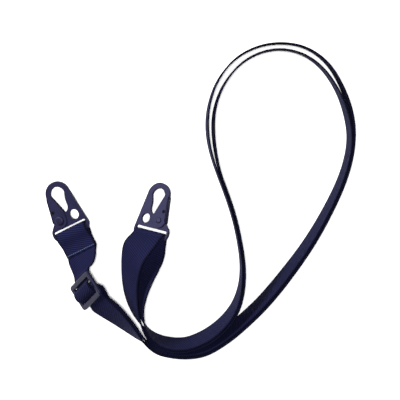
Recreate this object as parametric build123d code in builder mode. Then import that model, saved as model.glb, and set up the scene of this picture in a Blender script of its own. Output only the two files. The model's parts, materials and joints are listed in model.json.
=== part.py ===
"""Two-point carry strap: one long webbing strap with a steel spring-gate clip at each end.

The strap lies coiled on a flat surface.  It leaves clip A, passes over the centre bar of a
moulded slider, runs round one big loop to clip B, turns round that clip's bar and comes back
beside itself to the slider, where its end is sewn round the centre bar.

Millimetres.  +Z up, the surface is Z = 0, the origin is the middle of the outline's bottom.
"""

import math
import os

from build123d import *

# ---------------------------------------------------------------- driving dimensions
# Webbing
WEB_WIDTH = 32.0
WEB_THICKNESS = 1.4
LAYER_GAP = 0.9              # free space between the two layers of the loop
FIT_GAP = 0.3                # free space between a moving piece and its neighbour
BEND_GAP = 0.35              # free space between a clip's bar and the webbing round it
REST_GAP = 0.1               # webbing's lower edge above the surface, for its uneven lean

# Clip plate
PLATE_THICKNESS = 2.4
PLATE_LENGTH = 51.0          # bottom edge of the base to the top of the hook
HOOK_RADIUS = 12.0           # outside of the hook's bow
MOUTH_RADIUS = 7.0           # inside of the hook's bow
BAR_HEIGHT = 5.0             # the bar that the webbing turns round
SLOT_HEIGHT = 4.4
SLOT_SIDE_GAP = 1.0          # slot end to webbing edge
SLOT_RAIL = 2.4              # metal left outside each end of the slot
LANYARD_HOLE_RADIUS = 4.5
PLATE_CHAMFER = 0.3

# Gate, its rivet and its spring
GATE_SHEET = 0.9
GATE_BASE_RADIUS = 7.0
RIVET_RADIUS = 2.0
RIVET_RUNNING_GAP = 0.05
RIVET_HEAD_RADIUS = 4.3
RIVET_HEAD_HEIGHT = 1.4
RIVET_TAIL_RADIUS = 2.7
RIVET_TAIL_HEIGHT = 0.8
PIN_RADIUS = 1.1
PIN_HOLE_RADIUS = 1.6
PIN_SHARE = 0.4              # how far up the gate the pin sits
PIN_INSET = 2.7              # pin to the outside of the gate's fold
SPRING_WIRE_RADIUS = 0.45
SPRING_SHARE = 0.7           # how far up the gate the spring reaches
SPRING_GAP = 0.05

# Slider
SLIDER_LENGTH = 25.0         # along the webbing
SLIDER_THICKNESS = 3.5
SLIDER_END_BAR = 4.5
SLIDER_SIDE_RAIL = 3.0
SLIDER_SIDE_GAP = 1.0
CENTRE_BAR_RADIUS = 1.5
SLIDER_CORNER = 3.0
SLIDER_TRAVEL = 3.0
BAR_WRAP_GAP = 0.1           # centre bar to the end sewn round it

# Sewing
FOLD_LENGTH = 19.0           # sewn double stretch at clip A, from the bar
STITCH_COUNT = 13
STITCH_WIDTH = 0.6
STITCH_HEIGHT = 0.3

# ---------------------------------------------------------------- worked-out sizes
LAYER_PITCH = WEB_THICKNESS + LAYER_GAP
BEND_INNER = math.hypot(BAR_HEIGHT / 2, PLATE_THICKNESS / 2) + BEND_GAP
BEND_OUTER = BEND_INNER + WEB_THICKNESS
SLOT_HALF = WEB_WIDTH / 2 + SLOT_SIDE_GAP
BASE_HALF = SLOT_HALF + SLOT_RAIL
SLOT_BOTTOM = BAR_HEIGHT / 2
SLOT_TOP = SLOT_BOTTOM + SLOT_HEIGHT
BASE_BOTTOM = -BAR_HEIGHT / 2
HOOK_TOP = BASE_BOTTOM + PLATE_LENGTH
BOW_X = 3.6
BOW_Y = HOOK_TOP - HOOK_RADIUS
RIVET_X = -5.6
RIVET_Y = SLOT_TOP + GATE_BASE_RADIUS + 0.9
GATE_LOW = (RIVET_X - GATE_BASE_RADIUS + 0.1, RIVET_Y)     # the two ends of the gate's fold
GATE_HIGH = (BOW_X - HOOK_RADIUS + 0.1, BOW_Y + 0.2)


def up_gate(share):
    """Point on the outside of the gate's fold, at a share of the way up from the rivet."""
    return tuple(low + (high - low) * share for low, high in zip(GATE_LOW, GATE_HIGH))


PIN_X = up_gate(PIN_SHARE)[0] + PIN_INSET
PIN_Y = up_gate(PIN_SHARE)[1]
CHEEK_INNER = PLATE_THICKNESS / 2 + FIT_GAP
CHEEK_OUTER = CHEEK_INNER + GATE_SHEET
BOSS_RADIUS = GATE_BASE_RADIUS - GATE_SHEET - 3.5 * FIT_GAP
HOLE_X = 9.8
HOLE_Y = SLOT_TOP + LANYARD_HOLE_RADIUS + 2.9
SLIDER_WIDTH = WEB_WIDTH + 2 * (SLIDER_SIDE_GAP + SLIDER_SIDE_RAIL)
WINDOW_HALF = SLIDER_LENGTH / 2 - SLIDER_END_BAR

# ---------------------------------------------------------------- where the fittings lie
CLIP_A_HEADING = 26.1        # degrees the hook points left of +Y
CLIP_A_TILT = 24.0           # degrees the right side is raised
CLIP_A_LIFT = 3.11           # lower end of the bar above the surface
CLIP_B_HEADING = -14.0
CLIP_B_TILT = 35.0
CLIP_B_DROOP = 5.0           # degrees the hook points down, until its bow meets the surface
CLIP_B_LIFT = 3.37
SLIDER_HEADING = (0.530, -0.835, 0.155)
SLIDER_LEAN = 57.0
SLIDER_SEAT_LIFT = 2.7       # webbing's lower edge above the surface, under the slider


def rest_height(lean):
    """Height of the webbing's centre line when its lower edge touches the surface."""
    angle = math.radians(lean)
    upright = WEB_WIDTH / 2 * abs(math.sin(angle))
    return upright + WEB_THICKNESS / 2 * abs(math.cos(angle)) + REST_GAP


# Middles of the clips' bars, and of the webbing under the slider's centre bar
CLIP_A_BAR = (-114.0, -28.4, BASE_HALF * math.sin(math.radians(CLIP_A_TILT)) + CLIP_A_LIFT)
CLIP_B_BAR = (-44.3, -30.9, BASE_HALF * math.sin(math.radians(CLIP_B_TILT)) + CLIP_B_LIFT)
SLIDER_SEAT = (-98.5, -78.6, rest_height(SLIDER_LEAN) + SLIDER_SEAT_LIFT)


def across(tangent, lean):
    """Direction from the lower to the upper edge of webbing that leans by lean degrees."""
    left = Vector(-tangent.Y, tangent.X, 0).normalized()
    up = tangent.cross(left).normalized()
    angle = math.radians(lean)
    return left * math.cos(angle) + up * math.sin(angle)


def clip_plane(bar, heading, tilt, droop, flipped):
    """Plane of a clip: x along the bar, y towards the hook, z out of the front face."""
    turn = math.radians(heading)
    side = Vector(math.cos(turn), math.sin(turn), 0)
    tip = Vector(-math.sin(turn), math.cos(turn), 0)
    lift = math.radians(tilt)
    raised = side * math.cos(lift) + Vector(0, 0, 1) * math.sin(lift)
    fall = math.radians(droop)
    tip = tip * math.cos(fall) - raised.cross(tip) * math.sin(fall)
    normal = raised.cross(tip)
    if flipped:
        return Plane(origin=bar, x_dir=raised * -1, z_dir=normal * -1)
    return Plane(origin=bar, x_dir=raised, z_dir=normal)


clip_a_plane = clip_plane(CLIP_A_BAR, CLIP_A_HEADING, CLIP_A_TILT, 0, flipped=False)
clip_b_plane = clip_plane(CLIP_B_BAR, CLIP_B_HEADING, CLIP_B_TILT, CLIP_B_DROOP, flipped=True)

slider_travel = Vector(*SLIDER_HEADING).normalized()
slider_across = across(slider_travel, SLIDER_LEAN)
slider_normal = slider_travel.cross(slider_across)
slider_plane = Plane(origin=SLIDER_SEAT, x_dir=slider_travel, z_dir=slider_normal)
slider_profile = Plane(origin=SLIDER_SEAT, x_dir=slider_travel, z_dir=slider_across * -1)


def beside_slider(along, below=0.0):
    """Route point on the straight webbing at the slider: (x, y, lean, lift)."""
    place = Vector(*SLIDER_SEAT) + slider_travel * along - slider_normal * below
    return (place.X, place.Y, SLIDER_LEAN, place.Z - rest_height(SLIDER_LEAN))


# ---------------------------------------------------------------- routes
# Every point is (x, y, lean, lift): lean 0 is flat, 90 on edge, counted from the left of the
# way of travel; lift is the height of the lower edge above the surface.
RUN_START = 9.4              # from the centre bar
RETURN_START = 15.8
TAB_END = 8.0

TAB_ROUTE = [
    (-105.9, -50.6, 33, 2.6),
    (-105.3, -56.6, 44, 1.9),
    (-105.2, -62.3, 52, 0.8),
]

UP_RIGHT_SIDE = [
    (-80.4, -99.8, 61, 4.0),
    (-71.9, -106.7, 67, 2.6),
    (-61.9, -116.0, 76, 1.2),
    (-50.5, -127.2, 89, 0),
    (-39.4, -133.6, 101, 0),
    (-26.8, -135.6, 107, 0),
    (-10.6, -136.2, 110, 0),
    (5.6, -133.6, 110, 0),
    (25.9, -120.8, 109, 0),
    (42.0, -107.0, 108, 0),
    (58.7, -91.0, 107, 0),
    (78.1, -67.6, 106, 0),
    (101.6, -35.3, 103, 0),
    (122.2, 2.5, 100, 0),
    (133.1, 30.0, 98, 0),
    (137.6, 55.0, 97, 0),
]

OVER_TOP = [
    (136.2, 76.9, 96, 0),
    (129.2, 99.6, 94, 0),
    (115.6, 123.8, 92, 0),
    (95.5, 138.5, 90, 0),
    (72.8, 142.2, 90, 0),
    (51.1, 138.8, 90, 0),
    (30.6, 127.6, 90, 0),
    (15.2, 108.2, 88, 0),
    (7.7, 86.0, 87, 0),
    (6.1, 66.1, 86, 0),
    (8.8, 46.0, 87, 0),
]

OVER_TOP_INSIDE = [
    (131.9, 77.4, 96, 0),
    (123.9, 99.2, 94, 0),
    (110.2, 119.6, 92, 0),
    (92.8, 132.3, 90, 0),
    (72.7, 136.7, 90, 0),
    (53.4, 133.3, 90, 0),
    (35.2, 122.6, 90, 0),
    (20.8, 104.4, 88, 0),
    (13.2, 84.4, 87, 0),
    (11.6, 66.1, 86, 0),
    (13.4, 46.4, 87, 0),
]

DOWN_LEFT_SIDE = [
    (15.6, 24.8, 88, 0),
    (23.3, 5.0, 88, 0),
    (30.2, -16.2, 88, 0),
    (34.7, -37.0, 88, 0),
    (37.5, -56.0, 87, 0),
    (37.1, -74.0, 85, 0),
    (33.1, -90.5, 80, 0),
    (26.1, -103.0, 75, 0),
    (16.6, -113.2, 72, 0),
    (5.1, -121.6, 70, 0),
]

RUN_TO_CLIP = [
    (-8.9, -127.6, 70, 0),
    (-19.1, -128.8, 70, 0),
    (-29.5, -127.6, 71, 0),
    (-38.9, -123.8, 76, 0),
    (-46.1, -117.4, 84, 0),
    (-51.1, -108.0, 93, 0),
    (-53.3, -97.0, 101, 0),
    (-52.6, -86.0, 108, 0),
    (-50.2, -74.7, 115, 0),
    (-46.3, -62.0, 125, 0),
    (-43.3, -52.0, 136, 0),
]

RETURN_TO_CLIP = [
    (-8.9, -129.9, 70, 0),
    (-19.5, -131.1, 70, 0),
    (-30.5, -129.9, 71, 0),
    (-40.7, -125.6, 76, 0),
    (-48.3, -118.6, 84, 0),
    (-53.9, -108.8, 93, 0),
    (-58.4, -97.8, 103, 0),
    (-61.2, -86.8, 110, 0.2),
    (-62.6, -76.0, 115, 1.0),
    (-62.5, -66.0, 120, 3.3),
    (-61.6, -56.6, 126, 7.0),
    (-59.7, -48.0, 135, 11.4),
    (-56.0, -41.2, 143, 13.9),
]


def moved_left(points, distance):
    """The route of a layer that lies at a distance, on the left of the way of travel."""
    moved = []
    for index, (x, y, lean, lift) in enumerate(points):
        before = points[max(index - 1, 0)]
        after = points[min(index + 1, len(points) - 1)]
        run = Vector(after[0] - before[0], after[1] - before[1], 0).normalized()
        sideways = distance / math.sin(math.radians(lean))
        moved.append((x - run.Y * sideways, y + run.X * sideways, lean, lift))
    return moved


def beside_clip(plane, away, height, splay, travel_sign):
    """Route point on the webbing that leaves a clip's bar.

    The webbing's middle passes the bar's axis at the given height and leaves the clip's plane
    upwards at splay degrees; travel_sign is 1 when the route goes away from the clip.
    """
    side = 1 if plane.z_dir.Z > 0 else -1
    angle = math.radians(splay)
    leaving = plane.y_dir * -math.cos(angle) + plane.z_dir * side * math.sin(angle)
    square = plane.y_dir * math.sin(angle) + plane.z_dir * side * math.cos(angle)
    place = plane.origin + leaving * away + square * height
    travel = leaving * travel_sign
    left = Vector(-travel.Y, travel.X, 0).normalized()
    raised = plane.x_dir * side
    lean = math.degrees(math.atan2(raised.dot(travel.cross(left)), raised.dot(left)))
    return (place.X, place.Y, lean, place.Z - rest_height(lean))


BIGHT_LEG = 3.0              # straight legs of the turn round clip B's bar
RETURN_SPLAY = 32.0          # how far the two layers open from clip B's plane
RUN_SPLAY = -14.0
BEND_CENTRE = (BEND_INNER + BEND_OUTER) / 2
STRAIGHT_AT_CLIP = (6.0, 3.0, 0.0)


def at_clip_b(height, splay):
    """Last straight route points of a layer before the turn round clip B's bar."""
    return [
        beside_clip(clip_b_plane, BIGHT_LEG + away, height, splay, -1)
        for away in STRAIGHT_AT_CLIP
    ]


run_route = [beside_slider(RUN_START), beside_slider(13.0), beside_slider(17.5)]
run_route += UP_RIGHT_SIDE + OVER_TOP + DOWN_LEFT_SIDE + RUN_TO_CLIP
run_route += at_clip_b(-BEND_CENTRE, RUN_SPLAY)

return_route = [beside_slider(RETURN_START, LAYER_PITCH), beside_slider(17.0, LAYER_PITCH)]
return_route += moved_left(UP_RIGHT_SIDE, LAYER_PITCH) + OVER_TOP_INSIDE
return_route += moved_left(DOWN_LEFT_SIDE, LAYER_PITCH) + RETURN_TO_CLIP
return_route += at_clip_b(BEND_CENTRE, RETURN_SPLAY)

tab_route = [beside_clip(clip_a_plane, FOLD_LENGTH, -WEB_THICKNESS / 2, 0, 1)]
tab_route += TAB_ROUTE
tab_route += [beside_slider(-12.9), beside_slider(-TAB_END)]


def place_of(point):
    """Centre of the webbing at a route point."""
    x, y, lean, lift = point
    return Vector(x, y, rest_height(lean) + lift)


def stations(route, steps=2):
    """Section planes along the smooth line that the route's points pull."""
    places = [place_of(point) for point in route]
    widths = []
    for index, point in enumerate(route):
        ahead = places[min(index + 1, len(places) - 1)]
        behind = places[max(index - 1, 0)]
        widths.append(across((ahead - behind).normalized(), point[2]))
    planes = []
    last = len(places) - 2
    for index in range(1, last + 1):
        for step in range(steps + (index == last)):
            t = step / steps
            trio = []
            for values in (places, widths):
                start = values[0] if index == 1 else (values[index - 1] + values[index]) * 0.5
                end = values[-1] if index == last else (values[index] + values[index + 1]) * 0.5
                trio.append((start, values[index], end))
            blend = ((1 - t) ** 2, 2 * t * (1 - t), t ** 2)
            place, width = [sum((v * b for v, b in zip(t3, blend)), Vector()) for t3 in trio]
            start, middle, end = trio[0]
            tangent = ((middle - start) * (1 - t) + (end - middle) * t).normalized()
            planes.append(Plane(origin=place, x_dir=width, z_dir=tangent))
    return planes


def tab_stations(route, first_heading, last_heading):
    """Section planes of the twisted tab, whose heading turns evenly from clip to slider."""
    planes = []
    for index, point in enumerate(route):
        share = min(index / (len(TAB_ROUTE) + 1), 1.0)
        heading = (first_heading * (1 - share) + last_heading * share).normalized()
        width = across(heading, point[2])
        planes.append(Plane(origin=place_of(point), x_dir=width, z_dir=heading))
    return planes


def route_length(planes):
    """Length of the webbing through the stations."""
    return sum((b.origin - a.origin).length for a, b in zip(planes, planes[1:]))


# ---------------------------------------------------------------- webbing
def webbing(planes):
    """Flat webbing through the stations, as one ruled solid."""
    with BuildPart() as strip:
        for plane in planes:
            with BuildSketch(plane):
                Rectangle(WEB_WIDTH, WEB_THICKNESS)
        loft(ruled=True)
    return strip


run_planes = stations(run_route)
return_planes = stations(return_route)
tab_planes = tab_stations(tab_route, clip_a_plane.y_dir * -1, slider_travel)

running_layer = webbing(run_planes)
return_layer = webbing(return_planes)
tab_strap = webbing(tab_planes)

for name, planes, strip in (
    ("running layer", run_planes, running_layer),
    ("return layer", return_planes, return_layer),
    ("tab", tab_planes, tab_strap),
):
    length = route_length(planes)
    share = strip.part.volume / (length * WEB_WIDTH * WEB_THICKNESS)
    print(f"{name}: length {length:.1f} mm, volume over section x length {share:.3f}")

# Fold at clip A: the webbing turns round the bar and is sewn back on itself
FOLD_JOIN = 9.0              # where the two legs of the fold meet
fold_profile = Plane(
    origin=clip_a_plane.origin, x_dir=clip_a_plane.y_dir * -1, z_dir=clip_a_plane.x_dir
)
with BuildPart() as tab_fold:
    with BuildSketch(fold_profile):
        with BuildLine():
            CenterArc((0, 0), BEND_OUTER, 0, 360)
            Line((FOLD_JOIN, WEB_THICKNESS), (FOLD_JOIN, -WEB_THICKNESS))
        make_hull()
        with Locations(((FOLD_JOIN + FOLD_LENGTH) / 2, 0)):
            Rectangle(FOLD_LENGTH - FOLD_JOIN, 2 * WEB_THICKNESS)
    extrude(amount=WEB_WIDTH / 2, both=True)
    with BuildSketch(fold_profile):
        with BuildLine():
            CenterArc((0, 0), BEND_INNER, 0, 360)
            Line((FOLD_JOIN - 1, 0.1), (FOLD_JOIN - 1, -0.1))
        make_hull()
    extrude(amount=WEB_WIDTH, both=True, mode=Mode.SUBTRACT)

# Turn of the webbing round clip B's bar
bight_profile = Plane(
    origin=clip_b_plane.origin, x_dir=clip_b_plane.y_dir * -1, z_dir=clip_b_plane.x_dir
)
with BuildPart() as clip_b_bight:
    with BuildSketch(bight_profile):
        Circle(BEND_OUTER)
        Circle(BEND_INNER, mode=Mode.SUBTRACT)
        with BuildLine():
            opening = [(0, 0)] + [
                (3 * BEND_OUTER * math.cos(math.radians(turn)),
                 3 * BEND_OUTER * math.sin(math.radians(turn)))
                for turn in (RUN_SPLAY - 90, -45, 45, RETURN_SPLAY + 90)
            ]
            Polyline(*opening, close=True)
        make_face(mode=Mode.SUBTRACT)
        for splay, side in ((RETURN_SPLAY, 1), (RUN_SPLAY, -1)):
            angle = math.radians(splay)
            with Locations((
                BIGHT_LEG / 2 * math.cos(angle) - side * BEND_CENTRE * math.sin(angle),
                BIGHT_LEG / 2 * math.sin(angle) + side * BEND_CENTRE * math.cos(angle),
            )):
                Rectangle(BIGHT_LEG, WEB_THICKNESS, rotation=splay)
    extrude(amount=WEB_WIDTH / 2, both=True)

# Thread across the fold at clip A
STITCH_LENGTH = 0.7 * WEB_WIDTH / STITCH_COUNT
stitch_spacing = (WEB_WIDTH - 2.0) / STITCH_COUNT
with BuildPart() as tab_stitching:
    with BuildSketch(clip_a_plane.offset(WEB_THICKNESS)):
        with Locations((0, -(FOLD_LENGTH - 1.5))):
            with GridLocations(stitch_spacing, 0, STITCH_COUNT, 1):
                Rectangle(STITCH_LENGTH, STITCH_WIDTH)
    extrude(amount=STITCH_HEIGHT)

# ---------------------------------------------------------------- slider
SLIDER_LIFT = WEB_THICKNESS * 1.5 + 2 * FIT_GAP      # underside above the strap's centre
BAR_RISE = SLIDER_LIFT + SLIDER_THICKNESS / 2
WRAP_OUTER = CENTRE_BAR_RADIUS + BAR_WRAP_GAP + WEB_THICKNESS
ARCH_RADIUS = WRAP_OUTER + FIT_GAP / 2 + WEB_THICKNESS / 2
LEG_RISE = WEB_THICKNESS + FIT_GAP + 0.1             # webbing's centre above the strap's centre

with BuildPart() as slider_frame:
    with BuildSketch(slider_plane.offset(SLIDER_LIFT)):
        RectangleRounded(SLIDER_LENGTH, SLIDER_WIDTH, SLIDER_CORNER)
        Rectangle(2 * WINDOW_HALF, WEB_WIDTH + 2 * SLIDER_SIDE_GAP, mode=Mode.SUBTRACT)
    extrude(amount=SLIDER_THICKNESS)
    fillet(slider_frame.edges().filter_by(GeomType.LINE).filter_by(
        lambda edge: abs(edge.length - (SLIDER_LENGTH - 2 * SLIDER_CORNER)) < 0.1
        or abs(edge.length - (SLIDER_WIDTH - 2 * SLIDER_CORNER)) < 0.1), 0.8)
    with BuildSketch(slider_profile):
        with Locations((0, BAR_RISE)):
            Circle(CENTRE_BAR_RADIUS)
    extrude(amount=WEB_WIDTH / 2 + SLIDER_SIDE_GAP + 0.5, both=True)

# Strap where it passes over the centre bar: up through one slot and down through the other
LEG_OUT = SLIDER_LENGTH / 2 - 0.2
ARCH_FOOT = ARCH_RADIUS + 2.9
ARCH_TOP = BAR_RISE + ARCH_RADIUS
with BuildPart() as bar_arch:
    with BuildLine(slider_profile) as arch_line:
        FilletPolyline(
            (-LEG_OUT, LEG_RISE),
            (-ARCH_FOOT, LEG_RISE),
            (-ARCH_RADIUS * 0.72, ARCH_TOP),
            (ARCH_RADIUS * 0.72, ARCH_TOP),
            (ARCH_FOOT, LEG_RISE),
            (RUN_START + SLIDER_TRAVEL + FIT_GAP, LEG_RISE),
            radius=1.9,
        )
    arch_start = arch_line.line @ 0
    with BuildSketch(Plane(origin=arch_start, x_dir=slider_across, z_dir=slider_travel)):
        Rectangle(WEB_WIDTH, WEB_THICKNESS)
    sweep()

# Strap end sewn round the centre bar
TAIL_DEPTH = -WEB_THICKNESS * 1.5 - FIT_GAP
TAIL_OUT = RETURN_START - FIT_GAP
tail_points = (
    (CENTRE_BAR_RADIUS, BAR_RISE),
    (CENTRE_BAR_RADIUS + 3.2, WEB_THICKNESS / 2),
    (RUN_START - 2.5, TAIL_DEPTH),
    (TAIL_OUT + 1.0, TAIL_DEPTH),
)
with BuildPart() as return_end:
    with BuildSketch(slider_profile):
        with Locations((0, BAR_RISE)):
            Circle(WRAP_OUTER)
        for near, far in zip(tail_points, tail_points[1:]):
            run = Vector(far[0] - near[0], far[1] - near[1])
            middle = ((near[0] + far[0]) / 2, (near[1] + far[1]) / 2)
            turn = math.degrees(math.atan2(run.Y, run.X))
            with Locations(middle):
                SlotCenterToCenter(run.length, 2 * WEB_THICKNESS, rotation=turn)
        with Locations((TAIL_OUT + 2 * WEB_THICKNESS, TAIL_DEPTH)):
            Rectangle(4 * WEB_THICKNESS, 4 * WEB_THICKNESS, mode=Mode.SUBTRACT)
        with Locations((0, BAR_RISE)):
            Circle(CENTRE_BAR_RADIUS + BAR_WRAP_GAP, mode=Mode.SUBTRACT)
    extrude(amount=WEB_WIDTH / 2, both=True)

with BuildPart() as return_stitching:
    with BuildSketch(slider_plane.offset(TAIL_DEPTH - WEB_THICKNESS)):
        with Locations((TAIL_OUT - 2.5, 0)):
            with GridLocations(0, stitch_spacing, 1, STITCH_COUNT):
                Rectangle(STITCH_WIDTH, STITCH_LENGTH)
    extrude(amount=-STITCH_HEIGHT)


# ---------------------------------------------------------------- clips
def clip_plate(plane):
    """Flat J-shaped hook plate with webbing slot, lanyard hole and rivet boss."""
    shoulder = RIVET_Y - 1.2
    boss_left = RIVET_X - BOSS_RADIUS
    boss_top = RIVET_Y + BOSS_RADIUS
    nose_outer = BOW_X - HOOK_RADIUS
    nose_inner = BOW_X - MOUTH_RADIUS
    with BuildPart() as plate_part:
        with BuildSketch(plane):
            with BuildLine():
                Polyline(
                    (boss_left, RIVET_Y),
                    (boss_left, shoulder),
                    (boss_left - 2.2, shoulder),
                    (-BASE_HALF + 0.9, SLOT_TOP + 1.0),
                    (-BASE_HALF + 0.3, SLOT_BOTTOM),
                    (-BASE_HALF + 1.8, BASE_BOTTOM + 1.6),
                    (-BASE_HALF + 4.0, BASE_BOTTOM),
                    (BASE_HALF - 3.4, BASE_BOTTOM),
                    (BASE_HALF - 0.4, SLOT_BOTTOM - 1.6),
                    (BASE_HALF, SLOT_BOTTOM + 0.8),
                    (BOW_X + HOOK_RADIUS, BOW_Y),
                )
                RadiusArc((BOW_X + HOOK_RADIUS, BOW_Y), (nose_outer, BOW_Y), -HOOK_RADIUS)
                Line((nose_outer, BOW_Y), (nose_inner, BOW_Y))
                RadiusArc((nose_inner, BOW_Y), (BOW_X + MOUTH_RADIUS, BOW_Y), MOUTH_RADIUS)
                Spline(
                    (BOW_X + MOUTH_RADIUS, BOW_Y),
                    (BOW_X + 4.9, BOW_Y - 5.2),
                    (BOW_X + 4.2, BOW_Y - 9.0),
                    (BOW_X + 4.0, BOW_Y - 13.6),
                    (BOW_X + 0.9, BOW_Y - 17.2),
                    tangents=[(0, -1), (-1, -0.5)],
                )
                Line((BOW_X + 0.9, BOW_Y - 17.2), (RIVET_X, boss_top))
                RadiusArc((RIVET_X, boss_top), (boss_left, RIVET_Y), -BOSS_RADIUS)
            make_face()
            with Locations((0, (SLOT_BOTTOM + SLOT_TOP) / 2)):
                RectangleRounded(2 * SLOT_HALF, SLOT_HEIGHT, 1.2, mode=Mode.SUBTRACT)
            with Locations((HOLE_X, HOLE_Y)):
                Circle(LANYARD_HOLE_RADIUS, mode=Mode.SUBTRACT)
            with Locations((RIVET_X, RIVET_Y)):
                Circle(RIVET_RADIUS, mode=Mode.SUBTRACT)
        extrude(amount=PLATE_THICKNESS / 2, both=True)
        along_normal = Axis(plane.origin, plane.z_dir)
        for face in (plate_part.faces().sort_by(along_normal)[0],
                     plate_part.faces().sort_by(along_normal)[-1]):
            chamfer(face.outer_wire().edges(), PLATE_CHAMFER)
    return plate_part


def clip_gate(plane):
    """Gate of folded sheet: a cheek on each side of the plate and the fold outside."""
    with BuildPart() as gate:
        with BuildSketch(plane):
            with BuildLine():
                Polyline(
                    GATE_LOW,
                    GATE_HIGH,
                    (BOW_X - HOOK_RADIUS + 0.6, BOW_Y + 1.6),
                    (BOW_X - MOUTH_RADIUS - 0.8, BOW_Y + 1.6),
                    (BOW_X - MOUTH_RADIUS - 0.2, BOW_Y),
                    (RIVET_X + GATE_BASE_RADIUS + 0.5, RIVET_Y + 3.8),
                    (RIVET_X + GATE_BASE_RADIUS - 0.1, RIVET_Y),
                )
                RadiusArc(
                    (RIVET_X + GATE_BASE_RADIUS - 0.1, RIVET_Y), GATE_LOW, GATE_BASE_RADIUS
                )
            make_face()
            with Locations((RIVET_X, RIVET_Y)):
                Circle(RIVET_RADIUS + RIVET_RUNNING_GAP, mode=Mode.SUBTRACT)
            with Locations((PIN_X, PIN_Y)):
                Circle(PIN_HOLE_RADIUS, mode=Mode.SUBTRACT)
        extrude(amount=CHEEK_OUTER, both=True)
        with BuildSketch(plane):
            with BuildLine():
                Polyline(
                    (GATE_LOW[0] + GATE_SHEET, GATE_LOW[1] - 0.2),
                    (GATE_HIGH[0] + GATE_SHEET, GATE_HIGH[1]),
                    (GATE_HIGH[0] + GATE_SHEET, BOW_Y - FIT_GAP),
                    (BOW_X - HOOK_RADIUS - 2.0, BOW_Y - FIT_GAP),
                    (BOW_X - HOOK_RADIUS - 2.0, HOOK_TOP),
                    (BOW_X + HOOK_RADIUS, HOOK_TOP),
                    (BOW_X + HOOK_RADIUS, 0),
                    (-BASE_HALF, 0),
                    (-BASE_HALF, RIVET_Y - 0.2),
                    close=True,
                )
            make_face()
        extrude(amount=CHEEK_INNER, both=True, mode=Mode.SUBTRACT)
    return gate


def clip_rivet(plane):
    """Rivet: shank through plate and cheeks, round head in front and small tail behind."""
    head_seat = CHEEK_OUTER + FIT_GAP / 2
    with BuildPart() as rivet:
        with BuildSketch(plane.offset(-head_seat)):
            with Locations((RIVET_X, RIVET_Y)):
                Circle(RIVET_RADIUS)
        extrude(amount=2 * head_seat)
        with BuildSketch(plane.offset(head_seat)):
            with Locations((RIVET_X, RIVET_Y)):
                Circle(RIVET_HEAD_RADIUS)
        extrude(amount=RIVET_HEAD_HEIGHT)
        front = rivet.faces().sort_by(Axis(plane.origin, plane.z_dir))[-1]
        fillet(front.edges(), RIVET_HEAD_HEIGHT * 0.7)
        with BuildSketch(plane.offset(-head_seat)):
            with Locations((RIVET_X, RIVET_Y)):
                Circle(RIVET_TAIL_RADIUS)
        extrude(amount=-RIVET_TAIL_HEIGHT)
        back = rivet.faces().sort_by(Axis(plane.origin, plane.z_dir))[0]
        fillet(back.edges(), RIVET_TAIL_HEIGHT * 0.6)
    return rivet


def spring_pin(plane):
    """Small cross pin in the gate's cheeks that the spring leans on."""
    with BuildPart() as pin:
        with BuildSketch(plane.offset(-CHEEK_INNER - 0.1)):
            with Locations((PIN_X, PIN_Y)):
                Circle(PIN_RADIUS)
        extrude(amount=2 * CHEEK_INNER + 0.2)
        for side in (-1, 1):
            with BuildSketch(plane.offset(side * CHEEK_INNER)):
                with Locations((PIN_X, PIN_Y)):
                    Circle(PIN_HOLE_RADIUS - 0.02)
            extrude(amount=side * GATE_SHEET * 0.3)
    return pin


def gate_spring(plane):
    """Bent wire from the rivet boss, past the pin, to the inside of the gate's fold."""
    end_x = up_gate(SPRING_SHARE)[0] + GATE_SHEET + SPRING_WIRE_RADIUS + SPRING_GAP
    end_y = up_gate(SPRING_SHARE)[1]
    with BuildPart() as spring:
        with BuildLine(plane) as wire:
            FilletPolyline(
                (RIVET_X - 0.6, RIVET_Y + BOSS_RADIUS + SPRING_WIRE_RADIUS),
                (PIN_X + 2.4, PIN_Y + 0.4),
                (end_x + 0.4, (PIN_Y + end_y) / 2 + 0.4),
                (end_x, end_y),
                radius=1.2,
            )
        with BuildSketch(Plane(origin=wire.line @ 0, z_dir=wire.line % 0)):
            Circle(SPRING_WIRE_RADIUS)
        sweep()
    return spring


finished = {
    "tab_fold": tab_fold,
    "tab_strap": tab_strap,
    "tab_stitching": tab_stitching,
    "running_layer": running_layer,
    "clip_b_bight": clip_b_bight,
    "return_layer": return_layer,
    "slider_frame": slider_frame,
    "bar_arch": bar_arch,
    "return_end": return_end,
    "return_stitching": return_stitching,
}
for clip, plane in (("clip_a", clip_a_plane), ("clip_b", clip_b_plane)):
    finished[f"{clip}_plate"] = clip_plate(plane)
    finished[f"{clip}_gate"] = clip_gate(plane)
    finished[f"{clip}_rivet"] = clip_rivet(plane)
    finished[f"{clip}_spring_pin"] = spring_pin(plane)
    finished[f"{clip}_spring"] = gate_spring(plane)

os.makedirs("parts", exist_ok=True)
for name, piece in finished.items():
    piece.part.label = name
    export_step(piece.part, f"parts/{name}.step")
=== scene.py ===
"""Two-point carry strap with spring-gate hooks: the visible webbing, hooks, slider and finishes."""

import json
import logging
import math
from dataclasses import dataclass, field
from enum import Enum
from typing import Sequence

import bmesh
import bpy
from mathutils import Matrix, Vector


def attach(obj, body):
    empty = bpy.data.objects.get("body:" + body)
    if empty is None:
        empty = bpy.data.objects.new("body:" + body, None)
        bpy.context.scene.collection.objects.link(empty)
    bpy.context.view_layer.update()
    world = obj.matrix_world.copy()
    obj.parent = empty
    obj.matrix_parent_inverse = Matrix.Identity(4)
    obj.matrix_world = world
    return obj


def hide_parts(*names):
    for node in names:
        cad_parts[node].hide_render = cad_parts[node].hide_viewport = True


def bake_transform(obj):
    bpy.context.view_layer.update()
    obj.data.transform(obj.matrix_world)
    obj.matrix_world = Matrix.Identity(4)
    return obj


logging.basicConfig(level=logging.INFO, format="%(name)s: %(message)s")
log = logging.getLogger("carry_strap")

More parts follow.
